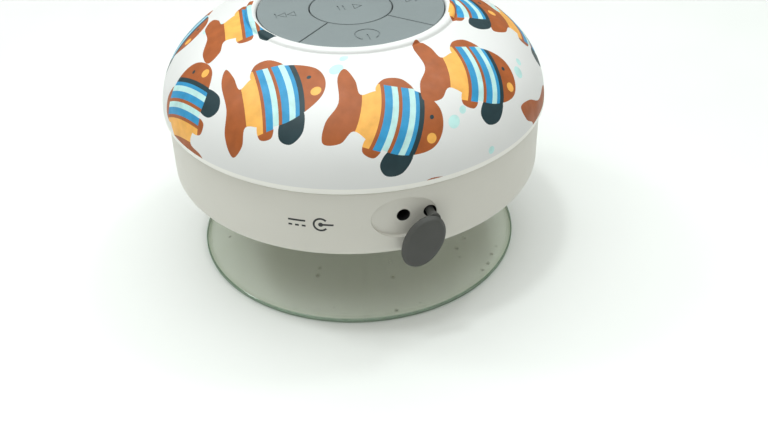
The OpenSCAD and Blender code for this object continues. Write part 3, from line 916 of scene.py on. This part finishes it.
def jack_rib(side):
    """One of the ribs that hold the jack from both sides."""
    middle, half = side * 3.85, 0.6
    return prism("rib", rectangle(middle - half, middle + half, -35, -28.5), BASE_Z + 1, 33)


def port_cutters():
    """The recess with its soft upper edge, and the holes of the jack and of the cover's stem."""
    # Each step: growth of the recess's outline, and distance outward from its floor
    steps = ((-0.12, 0), (0, 0.1), (0.08, 3.0))
    scoop = port_solid("scoop", [
        (ellipse(0, 0, PORT_A + grow, PORT_B + grow, steps=96), PORT_FLOOR + out) for grow, out in steps])
    holes = []
    for x, radius in ((0, JACK_R), (STEM_X, STEM_HOLE_R)):
        wide = radius + SHADE_SLEEVE_T
        holes.append(round_port_solid("hole", x, [
            (wide, 36), (wide, PORT_FLOOR - HOLE_EDGE),
            (wide + HOLE_EDGE, PORT_FLOOR + 0.01), (wide + HOLE_EDGE, PORT_FLOOR + 1),
        ]))
    return [scoop, edge_cutter()] + holes


def edge_cutter():
    """Takes off the corner between the port's recess and the curved side wall."""
    # Each step: growth of the recess's outline, and distance outside the wall
    steps = ((-0.6, -0.09), (0, -0.09), (0.03, -0.02), (0.1, 0.02), (0.1, 1.5))
    rings = []
    for grow, out in steps:
        radius = LOWER_R + out
        ring = ellipse(0, 0, PORT_A + grow, PORT_B + grow, steps=96)
        rings.append([(x, -math.sqrt(radius ** 2 - x ** 2), JACK_Z + y) for x, y in ring])
    return loft("edge", rings)


def port_shade_sleeves():
    """Black sleeves in the holes of the jack and of the cover's stem: painted shade that darkens the two
    holes.
    """
    back = PAD_BACK + 0.02
    front = PORT_FLOOR - 0.06
    chamfer = 0.03
    for name, x, radius in (("jack_shade_sleeve", 0, JACK_R), ("stem_shade_sleeve", STEM_X, STEM_HOLE_R)):
        wide = radius + SHADE_SLEEVE_T
        section = [
            (radius, back), (wide, back), (wide, front - chamfer), (wide - chamfer, front),
            (radius + chamfer, front), (radius, front - chamfer),
        ]
        sleeve = revolve(name, section, 48)
        move(sleeve, Matrix.Translation((x, 0, JACK_Z)) @ Matrix.Rotation(math.pi / 2, 4, "X"))
        place(smooth(sleeve), HOUSING, "black_plastic")


def sound_slot():
    """Cutter of one sound slot, with a small chamfer at the base's face."""
    half, end, wider = 4, 1, 1.12
    outline = arc(half, 0, end, end, -90, 90, 8) + arc(-half, 0, end, end, 90, 270, 8)
    levels = ((BASE_Z - 1, wider), (BASE_Z - 0.01, wider), (BASE_Z + 0.35, 1.0), (BASE_Z + 3, 1.0))
    return loft("slot", [[(x * grow, y * grow, z) for x, y in outline] for z, grow in levels])


def base_cutters():
    """The sound slots, the four screw wells, and the pilot holes of the driver's screws."""
    well_r, hole_r, head_seat, chamfer = 2.7, 1.45, 27, 0.3
    mouth_r = well_r + chamfer
    well = [
        (0, BASE_Z - 1), (mouth_r, BASE_Z - 1), (mouth_r, BASE_Z), (well_r, BASE_Z + chamfer),
        (well_r, head_seat), (hole_r, head_seat), (hole_r, BOSS_TOP + 1), (0, BOSS_TOP + 1),
    ]
    slots = at_angles(range(9, 360, 18), SLOT_CIRCLE, sound_slot)
    wells = at_angles(QUARTERS, SCREW_CIRCLE, lambda: revolve("well", well, 40))
    pilots = at_angles(CROSS, DRIVER_CIRCLE, lambda: rod("pilot", 0.9, BASE_Z + 1.2, 32))
    return slots + wells + pilots


def port_marks():
    """Plain marks for direct current, printed on the side wall in the place of lettering."""
    ink_r = LOWER_R + 0.015
    thick = 0.02
    centre_angle = math.radians(-115.6)
    centre_z = 29.2
    half = 0.21
    left, dash, pitch, long_line = -4.8, 0.8, 1.4, 3.6
    ring_x, ring_r, dot_r, tail = 1.9, 1.4, 0.5, 2.6

    def line_outline(x0, x1, y):
        row = [x0 + (x1 - x0) * i / 8 for i in range(9)]
        return [(x, y - half) for x in row] + [(x, y + half) for x in reversed(row)]

    marks = [line_outline(left, left + long_line, 0.6)]
    marks += [line_outline(left + pitch * k, left + dash + pitch * k, -0.6) for k in range(3)]
    outer, inner = ring_r + half, ring_r - half
    marks.append(arc(ring_x, 0, outer, outer, 40, 320, 28) + arc(ring_x, 0, inner, inner, 320, 40, 28))
    marks.append(ellipse(ring_x, 0, dot_r, dot_r, steps=20))
    marks.append(line_outline(ring_x, ring_x + tail, 0))

    def wrapped(x, y, r):
        a = centre_angle + x / LOWER_R
        return r * math.cos(a), r * math.sin(a), centre_z + y

    for i, outline in enumerate(marks):
        rings = [[wrapped(x, y, r) for x, y in outline] for r in (ink_r - thick, ink_r)]
        mark = loft(f"port_mark_{i + 1}", rings)
        edit_mesh(mark.data, lambda bm: bmesh.ops.triangulate(bm, faces=bm.faces))
        place(mark, HOUSING, "lower_casing", look="black_plastic")


# ---- Keys ----

def sector_outline():
    """Outline of the sector key centred on +X."""
    gap = GROOVE / 2
    outer, inner = KEY_R, CENTRE_KEY_R + gap
    outer_end, inner_end = (45 - math.degrees(math.asin(gap / r)) for r in (outer, inner))
    outside = arc(0, 0, outer, outer, -outer_end, outer_end, 48)
    return outside + arc(0, 0, inner, inner, inner_end, -inner_end, 30)


def key_body(name, outline, post_x):
    """A key with a rounded top edge, and the post under it."""
    key = prism(name, outline, KEY_BOTTOM, KEY_TOP)

    def round_top(bm):
        top = [e for e in bm.edges if all(abs(v.co.z - KEY_TOP) < 1e-5 for v in e.verts)]
        bmesh.ops.bevel(bm, geom=top, offset=0.14, segments=4, profile=0.5, affect="EDGES")

    edit_mesh(key.data, round_top)
    chamfer = 0.2
    post_low = low("play_key").z
    post_top = KEY_BOTTOM + 0.5
    post = revolve("post", [
        (0, post_low), (POST_R - chamfer, post_low), (POST_R, post_low + chamfer),
        (POST_R, post_top), (0, post_top),
    ], 40)
    move(post, Matrix.Translation((post_x, 0, 0)))
    return combine(key, [post], "UNION")


def stroke(points, closed):
    """A round-ended tool that engraves a line along points on the key's top."""
    curve = bpy.data.curves.new("stroke", "CURVE")
    curve.dimensions = "3D"
    curve.bevel_depth = SYMBOL_W / 2
    curve.bevel_resolution = 3
    curve.use_fill_caps = not closed
    line = curve.splines.new("POLY")
    line.points.add(len(points) - 1)
    for point, (x, y) in zip(line.points, points):
        point.co = (x, y, KEY_TOP - SYMBOL_SINK, 1)
    line.use_cyclic_u = closed
    holder = add_object("stroke", curve)
    mesh = baked(holder)
    bpy.data.objects.remove(holder)
    return fix_normals(add_object("stroke_tool", mesh))


def moved(points, x, y, flip=1):
    """Points moved by (x, y), after a half turn where flip is -1."""
    return [(x + flip * px, y + flip * py) for px, py in points]


def triangle(x, size):
    """Outline of a triangle that points to +X."""
    return [(x, size), (x + size * 1.5, 0), (x, -size)]


def key_symbols():
    """Engraved lines of each key's symbol, upright as read from the port's side: (points, closed)."""
    tall = 1.15
    skip = [
        (triangle(-2.3, tall), True), (triangle(-0.3, tall), True),
        ([(1.9, tall), (1.9, -tall)], False),
    ]
    pause = [([(x, 1.2), (x, -1.2)], False) for x in (-2.7, -1.6)]
    handset = [(arc(0, -1.6, 2.6, 2.4, 28, 152, 14), False)]
    handset += [(ellipse(2.2 * side, -0.9, 0.75, 0.5, 60 * side, 16), True) for side in (-1, 1)]
    return {
        "play_key": pause + [(triangle(0.6, 1.2), True)],
        "next_key": [(moved(line, KEY_CIRCLE, 0), closed) for line, closed in skip],
        "previous_key": [(moved(line, -KEY_CIRCLE, 0, -1), closed) for line, closed in skip],
        "answer_key": [(moved(line, 0, KEY_CIRCLE), closed) for line, closed in handset],
        "power_key": [
            (arc(0, -KEY_CIRCLE, 2.5, 2.5, -55, 235, 40), False),
            ([(0, -KEY_CIRCLE), (0, -KEY_CIRCLE - 2.7)], False),
        ],
    }


def keys():
    """The round play key in the middle, and the four sector keys round it."""
    turns = {"next_key": 0, "answer_key": 90, "previous_key": 180, "power_key": 270}
    for node, lines in key_symbols().items():
        piece = node.replace("_key", "_keycap")
        if node == "play_key":
            radius = CENTRE_KEY_R - GROOVE / 2
            key = key_body(piece, ellipse(0, 0, radius, radius, steps=96), 0)
        else:
            key = key_body(piece, sector_outline(), KEY_CIRCLE)
            move(key, Matrix.Rotation(math.radians(turns[node]), 4, "Z"))
        combine(key, [stroke(points, closed) for points, closed in lines], "DIFFERENCE")
        clean(key)
        smooth(key, 35)
        place(key, node.replace("_key", "_button"), "key_silicone", node)


# ---- Port cover ----

def port_cover():
    """Oval silicone cover with a rounded edge, a flared stem with a barb, and a plug on its back."""
    c, s = math.cos(math.radians(COVER_ANGLE)), math.sin(math.radians(COVER_ANGLE))
    plate_x, plate_z = STEM_X + STEM_X * c, STEM_X * s
    # Each level: how far the outline is drawn in, and the distance outward from the cover's back
    levels = (
        (0.25, 0), (0.07, 0.07), (0, 0.25), (0, 0.5), (0.04, 0.6),
        (0.42, 1.12), (0.5, 1.2), (0.66, 1.27), (0.9, COVER_T), (2, COVER_T),
    )
    plate = port_solid("cover", [
        (ellipse(plate_x, plate_z, COVER_A - inset, COVER_B - inset, COVER_ANGLE, 96), COVER_BACK + y)
        for inset, y in levels])
    # From the barb's tip to the flare at the cover's back: radius, and distance from the axis
    stem = round_port_solid("stem", STEM_X, [
        (0.55, 35.8), (0.85, 35.95), (1.55, 36.9), (1.6, 37.15), (1.5, 37.2), (0.85, 37.21),
        (0.85, 41.6), (0.92, 42.4), (1.05, 42.9), (1.22, 43.3), (1.3, COVER_BACK + 0.3),
    ])
    plug_tip = COVER_BACK - 1.65
    plug = round_port_solid("plug", plate_x, [
        (0.75, plug_tip), (1.0, plug_tip + 0.08), (1.15, plug_tip + 0.35),
        (1.15, COVER_BACK - 0.25), (1.35, COVER_BACK + 0.1), (1.35, COVER_BACK + 0.4),
    ], plate_z)
    combine(plate, [stem, plug], "UNION")
    clean(plate)
    smooth(plate, 40)
    place(plate, "cover", "cover_rubber", "port_cover")


# ---- Suction cup, its stud and the socket ----

def cup_under(r):
    """Height of the cup's underside at the radius r."""
    flat = CUP_R - RIM_FACE
    return 0 if r >= flat else CUP_HOLLOW * (1 - (r / flat) ** 2)


def cup_over(r):
    """Height of its upper side."""
    return cup_under(r) + RIM_T + CUP_SWELL * (1 - r / CUP_R) ** 2


def suction_cup():
    """Thin clear cup with a rounded rim, and the hub moulded round the stud.

    Pressed on, the rim comes up with the cup's body while the top of the hub stays on the stud.
    """
    flat = CUP_R - RIM_FACE
    under = [(flat * i / 40, cup_under(flat * i / 40)) for i in range(40)]
    over = [(r, cup_over(r)) for r in (flat - (flat - HUB_FOOT_R) * i / 36 for i in range(37))]
    rim = [(flat, 0), (CUP_R - 1.5, 0)] + arc(CUP_R - 0.3, 0.3, 0.3, 0.3, -90, 0, 4)
    rim += [(CUP_R, 0.62)] + arc(CUP_R - 0.35, 0.62, 0.35, 0.35, 10, 90, 4) + [(CUP_R - 1.6, 1.02)]
    fillet, hub_round = 3.5, 0.5
    foot = over[-1][1]
    hub = arc(HUB_FOOT_R, foot + fillet, fillet, fillet, 262, 184, 10) + [(HUB_R, CUP_TOP - hub_round)]
    hub += arc(HUB_R - hub_round, CUP_TOP - hub_round, hub_round, hub_round, 10, 90, 4)
    # The stud's neck and flange sit in the hub, with room under them for the cup pressed flat
    neck, flange = STUD_R + MOULD_GAP, STUD_FLANGE_R + MOULD_GAP
    flange_top = STUD_FLANGE_TOP + MOULD_GAP
    pocket = STUD_FLANGE_LOW - 1
    socket = [(neck, CUP_TOP), (neck, flange_top), (flange, flange_top), (flange, pocket), (0, pocket)]
    cup = revolve("cup_disc", under + rim + over + hub + socket)
    smooth(cup, 40)
    place(cup, "cup", "clear_pvc", "suction_cup")
    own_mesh(cup)


def cup_stud():
    """Nylon stud: a flange in the cup's hub, a neck, and a head above the socket."""
    low_z, high_z, edge = STUD_FLANGE_LOW, STUD_FLANGE_TOP, 0.3
    head_r, head_top = 7.5, high("cup_stud").z
    head_low = head_top - 2.1
    section = [
        (0, low_z), (6.6, low_z), (STUD_FLANGE_R, low_z + edge), (STUD_FLANGE_R, high_z - edge),
        (STUD_FLANGE_R - edge, high_z), (STUD_R + 0.4, high_z), (STUD_R, high_z + 0.4),
        (STUD_R, head_low), (head_r - edge, head_low), (head_r, head_low + edge),
        (head_r, head_top - 1.4), (head_r - 1.4, head_top), (0, head_top),
    ]
    stud = revolve("stud_pin", section, 96)
    place(smooth(stud), "stud", "white_nylon", "cup_stud")


def cup_socket():
    """Round plate with a collar that goes up into the tube under the base."""
    plate_top, collar_top = SOCKET_LOW + 2.2, SOCKET_LOW + 3.7
    bore_r, collar_r, edge = 4.6, 8.95, 0.5
    section = [
        (bore_r, SOCKET_LOW + 0.3), (bore_r + 0.3, SOCKET_LOW), (SOCKET_R - edge, SOCKET_LOW),
        (SOCKET_R, SOCKET_LOW + edge), (SOCKET_R, plate_top - 0.2), (SOCKET_R - 0.2, plate_top),
        (collar_r, plate_top), (collar_r, collar_top - 0.1), (8.8, collar_top), (bore_r, collar_top),
    ]
    socket = revolve("socket_disc", section, 96)
    place(smooth(socket), HOUSING, "lower_casing", "cup_socket")


# ---- Finishes of the CAD nodes that keep their own shape ----

def dress_nodes():
    """Gives every CAD node the material of its slot, and smooth shading."""
    slot_of = {part["node"]: part["material_slot"] for part in frame["record"]["subparts"]}
    for node, obj in frame["nodes"].items():
        obj.data.materials.clear()
        obj.data.materials.append(MATERIALS[slot_of[node]])
        smooth(obj, 30)


# ---- Stage: floor, light and camera ----

def floor_material():
    """White table top with faint clouds and a very fine grain."""
    n = Nodes("pale_floor")
    n.mottle(9, 3, (0.815, 0.825, 0.81), (0.845, 0.855, 0.84), 0.35)
    n.gloss(60, 3, 0.5, 0.6)
    n.bump(n.noise(800, 3), 0.02)


def stage():
    """A square floor just under the cup, so that the two faces don't meet."""
    half, gap = 3000, 0.03
    corners = [(x, y, -gap) for x, y in rectangle(-half, half, -half, half)]
    floor = new_object("floor", corners, [[0, 1, 2, 3]])
    floor.data.transform(Matrix.Scale(MM, 4))
    floor_material()
    floor.data.materials.append(MATERIALS["pale_floor"])


def soft_box(name, azimuth, elevation, distance, size, power):
    """A round soft box aimed at the object, in degrees (azimuth from +X) and millimetres."""
    light = bpy.data.lights.new(name, "AREA")
    light.shape = "DISK"
    light.size = size * MM
    light.energy = power
    light.color = COOL
    a, e = math.radians(azimuth), math.radians(elevation)
    aim = Vector((0, 0, 30)) * MM
    away = Vector((math.cos(a) * math.cos(e), math.sin(a) * math.cos(e), math.sin(e)))
    obj = add_object(name, light)
    obj.location = aim + away * distance * MM
    obj.rotation_euler = away.to_track_quat("Z", "Y").to_euler()


def lights():
    """Three soft boxes, placed by the shadows on the photograph's floor, and a broad fill above."""
    soft_box("right_box", 18, 60, 1000, 150, 1.0)
    soft_box("left_box", 151, 48, 1000, 150, 1.05)
    soft_box("top_box", 193, 78, 1000, 110, 1.6)
    soft_box("ceiling", 160, 86, 560, 1000, 4.6)
    world = bpy.data.worlds.new("studio")
    world.use_nodes = True
    background = world.node_tree.nodes["Background"].inputs
    background["Color"].default_value = (1.0, 0.98, 0.88, 1)
    background["Strength"].default_value = 0.25
    bpy.context.scene.world = world


def camera():
    """The camera of the photograph: about 0.23 m away, 30 degrees above the table."""
    azimuth, elevation, distance = math.radians(-12.4), math.radians(30.4953), 234.77
    yaw, pitch, roll = (math.radians(a) for a in (-1.4260, -4.6109, 2.2018))
    target = Vector((0, 0, 25))
    forward = Vector((0, math.cos(elevation), -math.sin(elevation)))
    right = Vector((1, 0, 0))
    place_mm = target - forward * distance
    up = right.cross(forward)
    forward, right = (Matrix.Rotation(yaw, 3, up) @ v for v in (forward, right))
    forward, up = (Matrix.Rotation(pitch, 3, right) @ v for v in (forward, up))
    right, up = (Matrix.Rotation(roll, 3, forward) @ v for v in (right, up))
    axes = Matrix((right, up, -forward)).transposed().to_4x4()
    axes.translation = place_mm * MM
    data = bpy.data.cameras.new("camera")
    data.sensor_width = 36
    data.lens = 46.875
    data.clip_start = 0.01
    obj = add_object("camera", data)
    obj.matrix_world = Matrix.Rotation(azimuth, 4, "Z") @ axes
    bpy.context.scene.camera = obj


camera()
lights()
stage()
dress_nodes()
top_shell()
lower_shell()
port_shade_sleeves()
port_marks()
keys()
port_cover()
suction_cup()
cup_stud()
cup_socket()

bpy.context.scene.view_settings.view_transform = "Standard"
